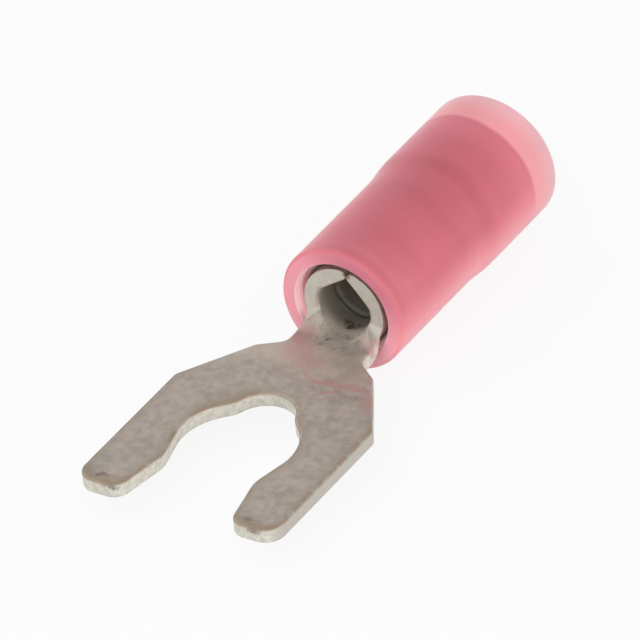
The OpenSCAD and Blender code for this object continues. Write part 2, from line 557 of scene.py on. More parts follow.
@dataclass(frozen=True)
class TinnedCopper:
    """Dull tin over copper strip, browned along its edges; its sheared walls are lighter, partly by their
    own finish and partly as a painted reflection of the bright floor, and take painted shade at the barrel
    and along the sides.

    Attributes:
        axis_z: The height of the barrel's axis.
        face: The lighter tone of its faces.
        face_dark: Their darker tone.
        warm: A rosier tone in places.
        cool: A greener tone in places.
        curl: Their lighter tone where the tongue starts to curl, a painted light.
        scoop: A lighter tone at the neck's deepest, painted light.
        hollow: The dark tone inside the barrel, painted shade.
        wall: The lighter tone of the sheared walls, partly their own finish and partly a painted reflection
            of the bright floor.
        wall_dark: Their darker tone.
        wall_painted_shade: Their painted shade along the sides and at the barrel.
        clouds: The wide clouds of its mottle.
        blots: The smaller ones.
        grain: The finest ones.
        hues: The clouds of the rosier and the greener tone.
        speckle: The noise of the specks in the scoop.
        streaks: The noise of the walls.
        mottle: How much of the clouds, the blots and the grain the mottle takes.
        relief: How much of the grain and the blots its unevenness takes.
        depth: How deep its unevenness is.
        lighter: Where the mottle is light.
        warmer: Where the hue is rosier.
        cooler: Where the hue is greener.
        browned_blots: Where the blots brown the edges.
        browned_tips: Where the tips' edges are browned, along the part.
        browned_end: Where the browned edges end, along the part.
        stain_at: The middle of the stain on the seat's edge.
        stain: How far from there it reaches.
        curl_start: Where the curl's painted light starts, along the part.
        curl_end: Where it ends.
        bore: How far from the axis the bore's tones reach.
        floor: How far to each side the scoop's painted light reaches.
        scoop_start: Where the scoop's painted light starts, along the part.
        hollow_start: Where the hollow's painted shade starts.
        rub_start: Where the rub marks start, along the part.
        rub_end: Where they end.
        specks: Where the speckle shows as specks.
        wobble: How far the blots push a scrape off its line.
        patchy: How far the grain breaks a scrape up.
        wall_lighter: Where the walls are light.
        wall_shade_start: Where the painted shade on the walls at the barrel starts, along the part.
        wall_shade_end: Where that ends.
        wall_shade_sides: How far out the sides' walls take the painted shade.
        metallic: How bare the metal is, on the fork and further back.
        roughness: How rough it is, from cloud to cloud.
        marks: Its stains, rubs and scars, and small patches of painted shade.
        scrapes: Its scrapes.
    """

    axis_z: float
    face: Colour = (0.43, 0.374, 0.328)
    face_dark: Colour = (0.31, 0.269, 0.232)
    warm: Colour = (0.40, 0.315, 0.275)
    cool: Colour = (0.355, 0.345, 0.29)
    curl: Colour = (0.58, 0.475, 0.405)
    scoop: Colour = (0.68, 0.60, 0.515)
    hollow: Colour = (0.28, 0.25, 0.205)
    wall: Colour = (0.66, 0.63, 0.555)
    wall_dark: Colour = (0.53, 0.50, 0.44)
    wall_painted_shade: Colour = (0.45, 0.42, 0.37)
    clouds: Noise = Noise(1.1, 4.0, 0.6)
    blots: Noise = Noise(3.0, 3.0, 0.5)
    grain: Noise = Noise(9.0, 3.0, 0.6)
    hues: Noise = Noise(2.1, 3.0, 0.6, (1.0, 1.0, 0.7))
    speckle: Noise = Noise(5.5, 4.0, 0.7)
    streaks: Noise = Noise(5.0, 4.0, 0.65)
    mottle: tuple[float, float, float] = (0.38, 0.48, 0.14)
    relief: tuple[float, float] = (0.6, 0.4)
    depth: float = 0.012
    lighter: Fade = Fade(0.36, 0.62)
    warmer: Fade = Fade(0.52, 0.68, 0.45)
    cooler: Fade = Fade(0.48, 0.32, 0.45)
    browned_blots: Fade = Fade(0.35, 0.6)
    browned_tips: Fade = Fade(-3.1, -3.7)
    browned_end: Fade = Fade(3.6, 2.6, 0.85)
    stain_at: Place = (-1.7, 1.9, 0.57)
    stain: Fade = Fade(1.7, 1.1)
    curl_start: Fade = Fade(3.9, 4.9, 0.4)
    curl_end: Fade = Fade(6.4, 5.7)
    bore: Fade = Fade(1.35, 1.15)
    floor: Fade = Fade(1.1, 0.6, 1.0, 0.1)
    scoop_start: Fade = Fade(6.15, 6.9)
    hollow_start: Fade = Fade(7.3, 7.9)
    rub_start: Fade = Fade(5.6, 6.3)
    rub_end: Fade = Fade(7.4, 7.1)
    specks: Fade = Fade(0.53, 0.66, 0.5)
    wobble: Fade = Fade(*CLOUDY, 0.06, -0.06)
    patchy: Fade = Fade(0.35, 0.6, 1.0, 0.45)
    wall_lighter: Fade = Fade(0.35, 0.6)
    wall_shade_start: Fade = Fade(6.3, 6.9, 0.95)
    wall_shade_end: Fade = Fade(7.275, 7.2, 0.95, 0.5)
    wall_shade_sides: Fade = Fade(3.75, 4.02, 0.9)
    metallic: Fade = Fade(5.0, 6.6, 0.38, 0.6)
    roughness: Fade = Fade(*CLOUDY, 0.56, 0.44)
    marks: tuple[Mark, ...] = (
        Mark((-0.05, 7.66, 0.37), 0.24, 0.95, SOOT_AND_SHADE, 0.3),
        Mark((-0.25, 7.84, 0.39), 0.17, 0.8, SOOT_AND_SHADE, 0.3),
        Mark((0.20, 7.78, 0.38), 0.20, 0.7, SOOT_AND_SHADE, 0.3),
        Mark((-0.20, 6.50, 0.56), 0.15, 0.75),
        Mark((0.22, 7.02, 0.43), 0.16, 0.5),
        Mark((0.42, 6.90, 0.50), 0.18, 0.4),
        Mark((0.81, 6.70, 0.59), 0.15, 0.5),
        Mark((-0.78, 6.94, 0.62), 0.14, 0.35),
        Mark((1.32, 6.50, 0.80), 0.14, 0.35),
        Mark((-1.22, 6.32, 0.57), 0.55, 0.6, ROSE, 0.2),
        Mark((-0.80, 5.60, 0.57), 0.75, 0.35, ROSE, 0.2),
        Mark((-0.10, 4.95, 0.57), 0.60, 0.3, ROSE, 0.2),
        Mark((1.62, 6.68, 0.58), 0.48, 0.5, ROSE, 0.15),
        # Painted shade in the notch where the seam meets the barrel's front.
        Mark((0.24, 7.28, 2.93), 0.19, 0.8, BROWN, 0.2),
        Mark((0.21, 7.28, 2.78), 0.11, 0.7, BROWN, 0.2),
        Mark((0.24, 7.28, 2.94), 0.12, 0.7, SOOT_AND_SHADE, 0.1),
        Mark((3.35, 3.60, 0.55), 0.40, 0.4, ROSE, 0.2),
        Mark((2.42, 5.00, 0.57), 0.30, 0.4, ROSE, 0.2),
        Mark((3.05, 3.92, 0.57), 0.42, 0.45, ROSE, 0.2),
        Mark((-3.74, -3.66, 0.57), 0.42, 0.2, SOOT_AND_SHADE, 0.3),
        Mark((-2.55, -4.03, 0.44), 0.15, 0.55, SOOT_AND_SHADE, 0.35),
        Mark((-2.36, -4.05, 0.40), 0.16, 0.65, SOOT_AND_SHADE, 0.35),
        Mark((2.86, -3.72, 0.57), 0.20, 0.45, SOOT_AND_SHADE, 0.35),
        Mark((3.20, -4.05, 0.44), 0.20, 0.55, SOOT_AND_SHADE, 0.35),
        Mark((3.42, -4.05, 0.42), 0.15, 0.5, SOOT_AND_SHADE, 0.35),
        Mark((-2.80, -4.00, 0.52), 0.26, 0.6, BROWN, 0.25),
        Mark((3.15, -4.00, 0.56), 0.30, 0.6, BROWN, 0.25),
    )
    scrapes: tuple[Scrape, ...] = (
        Scrape((-0.10, 4.50), (0.60, 4.15), 0.10, 0.4),
        Scrape((0.55, 4.12), (2.75, 4.36), 0.17, 0.85),
        Scrape((0.90, 4.30), (2.60, 4.52), 0.14, 0.45),
        Scrape((1.10, 3.48), (1.80, 4.00), 0.16, 0.75),
        Scrape((-3.60, -3.92), (-2.15, -3.50), 0.26, 0.6, BROWN),
        Scrape((-3.32, -3.76), (-2.98, -3.68), 0.12, 0.85, SOOT_AND_SHADE),
        Scrape((2.55, -3.78), (3.80, -3.98), 0.26, 0.55, BROWN),
        Scrape((2.70, -3.72), (2.95, -3.80), 0.11, 0.6, SOOT_AND_SHADE),
    )

    def mottled(self, sheet: Coat, noises: Sequence[Socket]) -> Socket:
        """Give the mottled tone of the plain faces.

        Args:
            sheet: The node tree to build in.
            noises: The clouds, the blots and the grain.

        Returns:
            The tone.
        """
        light = sheet.fade(sheet.weigh(*zip(noises, self.mottle)), self.lighter)
        tone = sheet.blend(light, self.face_dark, self.face)
        hue = sheet.noise(sheet.place, self.hues)
        tone = sheet.blend(sheet.fade(hue, self.warmer), tone, self.warm)
        return sheet.blend(sheet.fade(hue, self.cooler), tone, self.cool)

    def browned(self, sheet: Coat, blots: Socket) -> Socket:
        """Give how brown the fork's edges are.

        Args:
            sheet: The node tree to build in.
            blots: The noise that breaks the brown up.

        Returns:
            The share of the brown.
        """
        edge = sheet.attribute("edge")
        tips = sheet.fade(sheet.y, self.browned_tips)
        patches = sheet.sum("MAXIMUM", sheet.fade(blots, self.browned_blots), tips)
        stain = sheet.fade(sheet.vectors("DISTANCE", sheet.place, self.stain_at), self.stain)
        share = sheet.sum(
            "MAXIMUM",
            sheet.sum("MULTIPLY", edge, patches),
            sheet.sum("MULTIPLY", sheet.sum("SQRT", edge), stain),
        )
        return sheet.sum("MULTIPLY", share, sheet.fade(sheet.y, self.browned_end))

    def rolled(self, sheet: Coat, tone: Socket) -> Socket:
        """Change the faces' tone: painted light where the strip curls and in the scoop, painted shade in the
        bore, and specks where it is rubbed.

        Args:
            sheet: The node tree to build in.
            tone: The tone of the plain faces.

        Returns:
            The changed tone.
        """
        # Painted light where the strip starts to curl.
        tone = sheet.blend(sheet.between(sheet.y, self.curl_start, self.curl_end), tone, self.curl)
        # Painted light at the scoop's deepest.
        bore = sheet.fade(sheet.radius, self.bore)
        floor = sheet.fade(sheet.sum("ABSOLUTE", sheet.x), self.floor)
        scoop = sheet.sum("MULTIPLY", sheet.fade(sheet.y, self.scoop_start), bore, floor)
        tone = sheet.blend(scoop, tone, self.scoop)
        # Painted shade deep in the bore.
        hollow = sheet.sum("MULTIPLY", sheet.fade(sheet.y, self.hollow_start), bore)
        tone = sheet.blend(hollow, tone, self.hollow)
        rubbed = sheet.between(sheet.y, self.rub_start, self.rub_end)
        specks = sheet.fade(sheet.noise(sheet.place, self.speckle), self.specks)
        return sheet.blend(sheet.sum("MULTIPLY", rubbed, bore, specks), tone, SOOT_AND_SHADE)

    def sheared(self, sheet: Coat) -> Socket:
        """Give the tone of the sheared walls, with painted shade along the sides and at the barrel.

        Args:
            sheet: The node tree to build in.

        Returns:
            The tone.
        """
        light = sheet.fade(sheet.noise(sheet.place, self.streaks), self.wall_lighter)
        tone = sheet.blend(light, self.wall_dark, self.wall)
        # Painted shade on the walls at the barrel and along the fork's outer sides.
        rear = sheet.sum("MINIMUM", sheet.fade(sheet.y, self.wall_shade_start), sheet.fade(sheet.y, self.wall_shade_end))
        sides = sheet.fade(sheet.sum("ABSOLUTE", sheet.x), self.wall_shade_sides)
        return sheet.blend(sheet.sum("MAXIMUM", sides, rear), tone, self.wall_painted_shade)

    def build(self) -> bpy.types.Material:
        """Make the material.

        Returns:
            The finished material.
        """
        sheet = Coat("tinned_copper_dull", self.axis_z)
        noises = [sheet.noise(sheet.place, noise) for noise in (self.clouds, self.blots, self.grain)]
        clouds, blots, grain = noises
        face = self.mottled(sheet, noises)
        face = sheet.blend(self.browned(sheet, blots), face, BROWN)
        face = self.rolled(sheet, face)
        wobble = sheet.fade(blots, self.wobble)
        patchy = sheet.fade(grain, self.patchy)
        for scrape in self.scrapes:
            share = sheet.sum("MULTIPLY", scrape.share(sheet, wobble), patchy)
            face = sheet.blend(share, face, scrape.tone)
        # The walls' lighter tone is partly their own finish and partly a painted reflection of the bright
        # floor.
        colour = sheet.blend(sheet.attribute("wall"), face, self.sheared(sheet))
        for mark in self.marks:
            colour = sheet.blend(mark.share(sheet, blots, grain), colour, mark.tone)
        return sheet.finish(
            Base_Color=colour,
            Metallic=sheet.fade(sheet.y, self.metallic),
            Roughness=sheet.fade(clouds, self.roughness),
            Normal=sheet.bump(sheet.weigh(*zip((grain, blots), self.relief)), self.depth),
        )


@dataclass(frozen=True)
class GripMetal:
    """The thin, dull metal of the inner grip sleeve, with painted shade and painted pink light at its front.

    Attributes:
        front_y: Where the sleeve starts.
        axis_z: The height of its axis.
        face: Its lighter tone.
        face_dark: Its darker tone.
        tinted: Its tone at the front, where pink light gets to it through the nylon.
        drawn: The noise of its drawing marks, which run along it.
        lighter: Where that noise is light.
        tint: How far from the axis its front turns from painted shade to the tinted tone.
        front: How far behind the sleeve's start the front's tones reach.
        depth: How deep the drawing marks are.
        roughness: How rough it is.
    """

    front_y: float
    axis_z: float
    face: Colour = (0.30, 0.27, 0.25)
    face_dark: Colour = (0.22, 0.19, 0.17)
    tinted: Colour = (0.66, 0.43, 0.44)
    drawn: Noise = Noise(1.0, 4.0, 0.6, (5.0, 0.6, 5.0))
    lighter: Fade = Fade(*CLOUDY)
    tint: Fade = Fade(1.66, 1.84)
    front: Fade = Fade(0.4, 0.1)
    depth: float = 0.01
    roughness: float = 0.5

    def build(self) -> bpy.types.Material:
        """Make the material.

        Returns:
            The finished material.
        """
        sheet = Coat("grip_metal_dull", self.axis_z)
        drawn = sheet.noise(sheet.place, self.drawn)
        face = sheet.blend(sheet.fade(drawn, self.lighter), self.face_dark, self.face)
        # Painted shade at the front next to the barrel, and painted pink light further out.
        front = sheet.blend(sheet.fade(sheet.radius, self.tint), SOOT_AND_SHADE, self.tinted)
        return sheet.finish(
            Base_Color=sheet.blend(sheet.fade(sheet.y, self.front.at(self.front_y)), face, front),
            Metallic=1.0,
            Roughness=self.roughness,
            Normal=sheet.bump(drawn, self.depth),
        )


@dataclass(frozen=True)
class Band:
    """A soft ring of another tone round the nylon.

    Attributes:
        middle: Its place along the part.
        reach: How far it spreads to each side.
        strength: How strongly it shows, up to 1.
    """

    middle: float
    reach: float
    strength: float

    def share(self, sheet: Sheet, along: Socket) -> Socket:
        """Give how strongly the ring shows at a place along the part."""
        gap = sheet.sum("ABSOLUTE", sheet.sum("SUBTRACT", along, self.middle))
        return sheet.fade(gap, Fade(self.reach, 0.0, self.strength))


@dataclass(frozen=True)
class PinkNylon:
    """Slightly translucent pink nylon, which looks darker where the grip sleeve lies under it, with light
    and shade painted into its colour by side and by place.

    Attributes:
        metal_rear: Where the sleeve under it ends, along the part.
        mouth_y: Where its mouth is.
        end_y: Where its wire entry is.
        axis_z: The height of its axis.
        lit: Its colour where nothing lies under it.
        lit_crest: The same along its top.
        face_low: Its colour at the mouth, where light comes up through it.
        face_high: Its colour at the top of the mouth, darker as painted shade.
        face_foot: Its lighter colour at the foot of the mouth, painted light.
        lip_wall: The pale tone inside the lip, painted light that comes through it.
        lip_glow: The tone of the light that comes through the lip.
        rim: Its colour at the wire entry, where light gets in from the end.
        rim_crest: The same along its top.
        backed: Its colour over the grip sleeve.
        flank: Its colour low on its sides, where light comes up from the floor.
        brighter: Its lighter colour on the upper left, painted light.
        rear_gleam: Its colour just before the sleeve ends, a painted highlight.
        shaded: Its colour where the sleeve stands off from it.
        dark_bands: The rings of the shaded tone.
        light_bands: The rings of the lit tone.
        brow: The shaded ring at the top of the mouth's edge.
        gleam: The ring of the rear gleam.
        clouds: The noise that makes the rings uneven.
        blotches: The noise of the shaded blotches, which run round it.
        fine: The noise of its satin surface.
        waves: How far the clouds push a ring along the part.
        ripple: How far they push the edge of the sleeve under it.
        tilt: How much a place further left counts as lower, for the tones that lean.
        blotched: Where the blotches are dark.
        brow_side: How high up the brow lies.
        bright_side: How far left the brighter tone lies.
        gleam_side: How far left the rear gleam lies.
        flank_side: How low the flank's tone lies.
        crest: How high the crest's tones lie.
        rim_start: Where the rim's tone starts, from the wire entry.
        face_side: How low the mouth's lower tone lies.
        foot_side: How low the tone of its foot lies.
        skin: How far from the axis its outside is.
        mouth: How far behind the mouth the inside looks like the outside.
        metal_end: How softly its tone changes where the sleeve under it ends.
        front: How far behind the mouth the face's tones reach.
        front_edge: How far from the axis they reach.
        lip: How far from the axis the lip's inside is.
        lip_end: How far behind the mouth it ends.
        lip_side: How low its pale tone lies.
        glow_start: How far behind the mouth the lip's glow starts.
        glow: How bright the glow is.
        scatter: How much light it lets through.
        scatter_tint: How far each colour of that light gets, as shares.
        scatter_reach: How far the light gets.
        sheen: How strongly its surface shines at a low angle.
        sheen_roughness: How soft that sheen is.
        sheen_tint: The sheen's colour.
        depth: How deep its surface is uneven.
        roughness: How rough it is.
    """

    metal_rear: float
    mouth_y: float
    end_y: float
    axis_z: float
    lit: Colour = (0.73, 0.30, 0.325)
    lit_crest: Colour = (0.87, 0.345, 0.37)
    face_low: Colour = (0.82, 0.33, 0.385)
    face_high: Colour = (0.605, 0.185, 0.245)
    face_foot: Colour = (0.96, 0.445, 0.515)
    lip_wall: Colour = (0.93, 0.57, 0.61)
    lip_glow: Colour = (0.85, 0.50, 0.53)
    rim: Colour = (0.66, 0.37, 0.395)
    rim_crest: Colour = (0.84, 0.455, 0.49)
    backed: Colour = (0.57, 0.122, 0.165)
    flank: Colour = (0.745, 0.25, 0.29)
    brighter: Colour = (0.77, 0.195, 0.248)
    rear_gleam: Colour = (0.90, 0.22, 0.31)
    shaded: Colour = (0.46, 0.09, 0.118)
    dark_bands: tuple[Band, ...] = (Band(11.5, 0.6, 0.5), Band(12.7, 2.2, 0.35), Band(13.2, 0.75, 0.85))
    light_bands: tuple[Band, ...] = (Band(7.3, 1.7, 0.22), Band(8.35, 0.8, 0.1), Band(16.1, 1.3, 0.16))
    brow: Band = Band(7.42, 0.36, 0.4)
    gleam: Band = Band(15.6, 1.1, 0.25)
    clouds: Noise = Noise(0.55, 3.0, 0.5)
    blotches: Noise = Noise(0.9, 3.0, 0.55, (0.35, 1.0, 0.35))
    fine: Noise = Noise(14.0, 3.0, 0.6)
    waves: Fade = Fade(*CLOUDY, 0.12, -0.12)
    ripple: Fade = Fade(*CLOUDY, 0.03, -0.03)
    tilt: float = 0.6
    blotched: Fade = Fade(0.62, 0.38, 0.22)
    brow_side: Fade = Fade(-1.2, -2.3)
    bright_side: Fade = Fade(0.7, -1.1, 0.42)
    gleam_side: Fade = Fade(1.6, 0.0, 1.0, 0.3)
    flank_side: Fade = Fade(0.9, -1.0)
    crest: Fade = Fade(1.2, 2.5)
    rim_start: Fade = Fade(-1.1, -0.2)
    face_side: Fade = Fade(-2.6, -0.4)
    foot_side: Fade = Fade(-0.4, -1.5)
    skin: Fade = Fade(2.16, 2.26)
    mouth: Fade = Fade(0.3, 0.03)
    metal_end: Fade = Fade(0.10, -0.12)
    front: Fade = Fade(0.16, 0.01)
    front_edge: Fade = Fade(2.44, 2.28)
    lip: Fade = Fade(1.96, 1.89)
    lip_end: Fade = Fade(0.53, 0.48)
    lip_side: Fade = Fade(-1.6, -0.2)
    glow_start: Fade = Fade(0.04, 0.2)
    glow: float = 0.4
    scatter: float = 0.5
    scatter_tint: Colour = (1.0, 0.35, 0.35)
    scatter_reach: float = 0.8
    sheen: float = 0.8
    sheen_roughness: float = 0.3
    sheen_tint: Colour = (1.0, 0.82, 0.84)
    depth: float = 0.004
    roughness: float = 0.52

    def rings(self, sheet: Sheet, along: Socket, bands: Sequence[Band]) -> Socket:
        """Give how strongly the strongest of some rings shows at a place along the part."""
        return sheet.sum("MAXIMUM", *(band.share(sheet, along) for band in bands))

    def over_metal(self, sheet: Coat, wavy: Socket, low: Socket) -> Socket:
        """Give the tone where the grip sleeve lies under the nylon, with painted light and shade.

        Args:
            sheet: The node tree to build in.
            wavy: The place along the part, pushed about by the clouds.
            low: How low and how far left the place lies.

        Returns:
            The tone.
        """
        tone = sheet.blend(self.rings(sheet, wavy, self.light_bands), self.backed, self.lit)
        tone = sheet.blend(self.rings(sheet, wavy, self.dark_bands), tone, self.shaded)
        blotched = sheet.fade(sheet.noise(sheet.place, self.blotches), self.blotched)
        tone = sheet.blend(blotched, tone, self.shaded)
        brow = sheet.sum("MULTIPLY", self.brow.share(sheet, sheet.y), sheet.fade(low, self.brow_side))
        tone = sheet.blend(brow, tone, self.shaded)
        # Painted light on the upper left.
        tone = sheet.blend(sheet.fade(sheet.x, self.bright_side), tone, self.brighter)
        # A painted highlight just before the sleeve ends, stronger on the left.
        gleam = sheet.sum("MULTIPLY", self.gleam.share(sheet, sheet.y), sheet.fade(sheet.x, self.gleam_side))
        tone = sheet.blend(gleam, tone, self.rear_gleam)
        return sheet.blend(sheet.fade(sheet.rise, self.flank_side), tone, self.flank)

    def clear(self, sheet: Coat, wavy: Socket) -> Socket:
        """Give the tone where nothing lies under the nylon, with painted light along its top and at the wire
        entry.

        Args:
            sheet: The node tree to build in.
            wavy: The place along the part, pushed about by the clouds.

        Returns:
            The tone.
        """
        crest = sheet.fade(sheet.rise, self.crest)
        lit = sheet.blend(crest, self.lit, self.lit_crest)
        rim = sheet.blend(crest, self.rim, self.rim_crest)
        return sheet.blend(sheet.fade(wavy, self.rim_start.at(self.end_y)), lit, rim)

    def at_mouth(self, sheet: Coat, low: Socket) -> Socket:
        """Give the tone of the face round the mouth, with painted light low down and at its foot.

        Args:
            sheet: The node tree to build in.
            low: How low and how far left the place lies.

        Returns:
            The tone.
        """
        tone = sheet.blend(sheet.fade(low, self.face_side), self.face_high, self.face_low)
        return sheet.blend(sheet.fade(sheet.rise, self.foot_side), tone, self.face_foot)

    def build(self) -> bpy.types.Material:
        """Make the material.

        Returns:
            The finished material.
        """
        sheet = Coat("pink_nylon_satin", self.axis_z)
        clouds = sheet.noise(sheet.place, self.clouds)
        wavy = sheet.sum("ADD", sheet.y, sheet.fade(clouds, self.waves))
        crisp = sheet.sum("ADD", sheet.y, sheet.fade(clouds, self.ripple))
        low = sheet.weigh((sheet.x, -self.tilt), (sheet.rise, -1.0))
        mouth = sheet.fade(sheet.y, self.mouth.at(self.mouth_y))
        outside = sheet.sum("MAXIMUM", sheet.fade(sheet.radius, self.skin), mouth)
        backed = sheet.sum("MULTIPLY", sheet.fade(crisp, self.metal_end.at(self.metal_rear)), outside)
        colour = sheet.blend(backed, self.clear(sheet, wavy), self.over_metal(sheet, wavy, low))
        front = sheet.fade(sheet.y, self.front.at(self.mouth_y))
        front = sheet.sum("MULTIPLY", front, sheet.fade(sheet.radius, self.front_edge))
        colour = sheet.blend(front, colour, self.at_mouth(sheet, low))
        # Painted light inside the lip on its lower side: a pale tone and an emitted glow.
        lip = sheet.sum(
            "MULTIPLY",
            sheet.fade(sheet.radius, self.lip),
            sheet.fade(sheet.y, self.lip_end.at(self.mouth_y)),
            sheet.fade(low, self.lip_side),
        )
        glow = sheet.sum("MULTIPLY", lip, sheet.fade(sheet.y, self.glow_start.at(self.mouth_y)))
        return sheet.finish(
            Base_Color=sheet.blend(lip, colour, self.lip_wall),
            Emission_Color=sheet.blend(glow, (0.0, 0.0, 0.0), self.lip_glow),
            Emission_Strength=self.glow,
            Subsurface_Weight=self.scatter,
            Subsurface_Radius=self.scatter_tint,
            Subsurface_Scale=self.scatter_reach * MM,
            Sheen_Weight=self.sheen,
            Sheen_Roughness=self.sheen_roughness,
            Sheen_Tint=(*self.sheen_tint, 1.0),
            Roughness=self.roughness,
            Normal=sheet.bump(sheet.noise(sheet.place, self.fine), self.depth),
        )


@dataclass(frozen=True)
class PaleFloor:
    """Plain white card that keeps a faint shadow.

    Attributes:
        colour: The card's own colour.
        glow: How far the camera sees it as plain white instead.
    """

    colour: Colour = (0.92, 0.92, 0.92)
    glow: float = 0.88

    def build(self) -> bpy.types.Material:
        """Make the material.

        Returns:
            The finished material.
        """
        sheet = Sheet("pale_card")
        card = sheet.node("ShaderNodeBsdfDiffuse")
        sheet.feed(card.inputs["Color"], (*self.colour, 1.0))
        light = sheet.node("ShaderNodeEmission")
        sheet.feed(light.inputs["Strength"], 1.0)
        mixed = sheet.node("ShaderNodeMixShader")
        sheet.feed(mixed.inputs[0], sheet.sum("MULTIPLY", sheet.seen(), self.glow))
        sheet.feed(mixed.inputs[1], card.outputs[0])
        sheet.feed(mixed.inputs[2], light.outputs[0])
        return sheet.close(mixed)


def add_mesh(name: str, points: np.ndarray, faces: Sequence[Sequence[int]]) -> bpy.types.Object:
    """Make a smooth-shaded mesh object and put it in the scene.

    Args:
        name: The object's name.
        points: Its points in millimetres.
        faces: The corners of each face.

    Returns:
        The object.
    """
    mesh = bpy.data.meshes.new(name)
    mesh.from_pydata((points * MM).tolist(), [], [list(map(int, f)) for f in faces])
    mesh.validate()
    mesh.polygons.foreach_set("use_smooth", [True] * len(mesh.polygons))
    mesh.update()
    made = bpy.data.objects.new(name, mesh)
    bpy.context.scene.collection.objects.link(made)
    return made


def store(piece: bpy.types.Object, name: str, values: np.ndarray) -> None:
    """Store a number at each vertex of a mesh, for its material.

    Args:
        piece: The mesh object.
        name: The number's name.
        values: One number for each vertex.
    """
    attribute = piece.data.attributes.new(name, "FLOAT", "POINT")
    attribute.data.foreach_set("value", np.asarray(values, np.float32))


@dataclass
class Stamping:
    """The fork tongue, the scooped neck and the rolled barrel: one tinned copper stamping.

    It is drawn as a flat blank, given its thickness and its rolled-over edges, and then each
    point is rolled up as the strip is in the press. The stud's middle is the blank's origin.

    Attributes:
        sheet_t: The strip's thickness.
        seat_r: Radius of the seat that takes the stud.
        throat: The narrowest place of the slot, on its right.
        throat_r: Radius of the round there.
        relief_r: Radius of the relief behind the seat.
        relief_y: Where the relief's middle is.
        blend_r: Radius of the rounds between the seat and the relief.
        fork_w: Width over both tines.
        tip_reach: How far the tips reach in front of the stud's middle.
        lead_a: Angle by which each side of the slot opens towards the tips.
        tip_outer_r: Radius of the tips' outer corners.
        tip_inner_r: Radius of their inner corners.
        taper_y: Where the sides start to taper.
        taper_a: Angle between the taper and the part's length.
        taper_r: Radius of the round where the taper starts.
        shoulder_w: Width where it ends.
        shoulder_a: Angle between the shoulders and the part's width.
        shoulder_r: Radius of the round where they start.
        neck_w: Width of the neck.
        neck_r: Radius of the round where it starts.
        barrel_y: Where the barrel starts.
        bore_r: Radius of the bore.
        barrel_l: Length of the barrel.
        barrel_drop: How far it reaches below the tongue's underside.
        web_r: Radius of the round between the neck and the barrel.
        seam_lean: Angle by which the seam leans from the top.
        flat_a: Angle between the seam and the middle of the flat beside it.
        flat_sink: How far the flats lie inside the bore's round.
        seam_r: Radius of the outer edges along the seam.
        seam_gap: Width of the seam.
        groove_y: Where the grip grooves start, behind the barrel's front.
        groove_w: Width of a groove.
        groove_depth: Its depth.
        groove_side: Where its sloping side starts and ends, from the groove's edge.
        groove_fade: Angle in which it runs out at the flats.
        sink_l: Length of the countersink at the barrel's rear.
        sink_slope: How steep the countersink is.
        rollover: How far an edge's round runs in from the edge, and how deep it is.
        burr: The small round of the lower edges.
        outline_step: Longest distance between the outline's points.
        web_step: The same on the round between the neck and the barrel.
        offsets: Distances from the edge of the extra rows of points that follow it.
        offset_slack: How much too near the edge such a point may be, as a share.
        spacing: Distance between the points inside.
        row_share: Distance between their rows, as a share of the spacing.
        clearance: How far they keep off the extra rows, as a share of the spacing.
        wall_rows: Depths of the rows of points on the walls, as shares of the wall.
        wall_rims: How much of the walls' tone their upper and their lower edge take.
        brown_flat: How far in from an edge the brown is full, and how far it then fades.
        brown_wall: How brown each row on the walls is.
    """

    sheet_t: float = 0.57
    seat_r: float = 2.2
    throat: Point = (1.84, -1.8)
    throat_r: float = 1.4
    relief_r: float = 1.16
    relief_y: float = 1.76
    blend_r: float = 1.2
    fork_w: float = 8.1
    tip_reach: float = 4.1
    lead_a: float = math.radians(10.6)
    tip_outer_r: float = 0.72
    tip_inner_r: float = 0.6
    taper_y: float = 2.46
    taper_a: float = math.radians(31)
    taper_r: float = 0.35
    shoulder_w: float = 4.84
    shoulder_a: float = math.radians(36)
    shoulder_r: float = 0.35
    neck_w: float = 3.08
    neck_r: float = 0.45
    barrel_y: float = 7.28
    bore_r: float = 1.05
    barrel_l: float = 5.1
    barrel_drop: float = 0.2
    web_r: float = 0.3
    seam_lean: float = math.radians(9)
    flat_a: float = math.radians(43)
    flat_sink: float = 0.09
    seam_r: float = 0.26
    seam_gap: float = 0.02
    groove_y: tuple[float, ...] = (1.1, 2.05, 3.0)
    groove_w: float = 0.2
    groove_depth: float = 0.07
    groove_side: Point = (-0.01, 0.03)
    groove_fade: float = 0.12
    sink_l: float = 0.4
    sink_slope: float = 0.8
    rollover: Point = (0.15, 0.10)
    burr: float = 0.025
    outline_step: float = 0.06
    web_step: float = 0.03
    offsets: tuple[float, ...] = (0.012, 0.035, 0.07, 0.11, 0.155, 0.22)
    offset_slack: float = 0.12
    spacing: float = 0.15
    row_share: float = 0.866
    clearance: float = 0.45
    wall_rows: tuple[float, ...] = (0.12, 0.4, 0.7, 0.92)
    wall_rims: Point = (0.6, 0.8)
    brown_flat: Point = (0.10, 0.14)
    brown_wall: tuple[float, ...] = (0.7, 0.15, 0.0, 0.0)

    @property
    def barrel_r(self) -> float:
        """Give the barrel's outside radius."""
        return self.bore_r + self.sheet_t

    @property
    def mid_r(self) -> float:
        """Give the radius of the strip's middle in the barrel."""
        return self.bore_r + self.sheet_t / 2

    @property
    def axis_z(self) -> float:
        """Give the height of the barrel's axis."""
        return self.barrel_r - self.barrel_drop

    @property
    def shoulder_y(self) -> float:
        """Give the place where the shoulders start."""
        return self.taper_y + (self.fork_w - self.shoulder_w) / 2 / math.tan(self.taper_a)

    @property
    def neck_y(self) -> float:
        """Give the place where the neck starts."""
        return self.shoulder_y + (self.shoulder_w - self.neck_w) / 2 * math.tan(self.shoulder_a)

    @property
    def roll_y(self) -> float:
        """Give the place where the strip starts to roll."""
        return (self.neck_y + self.barrel_y) / 2 - self.web_r / 2

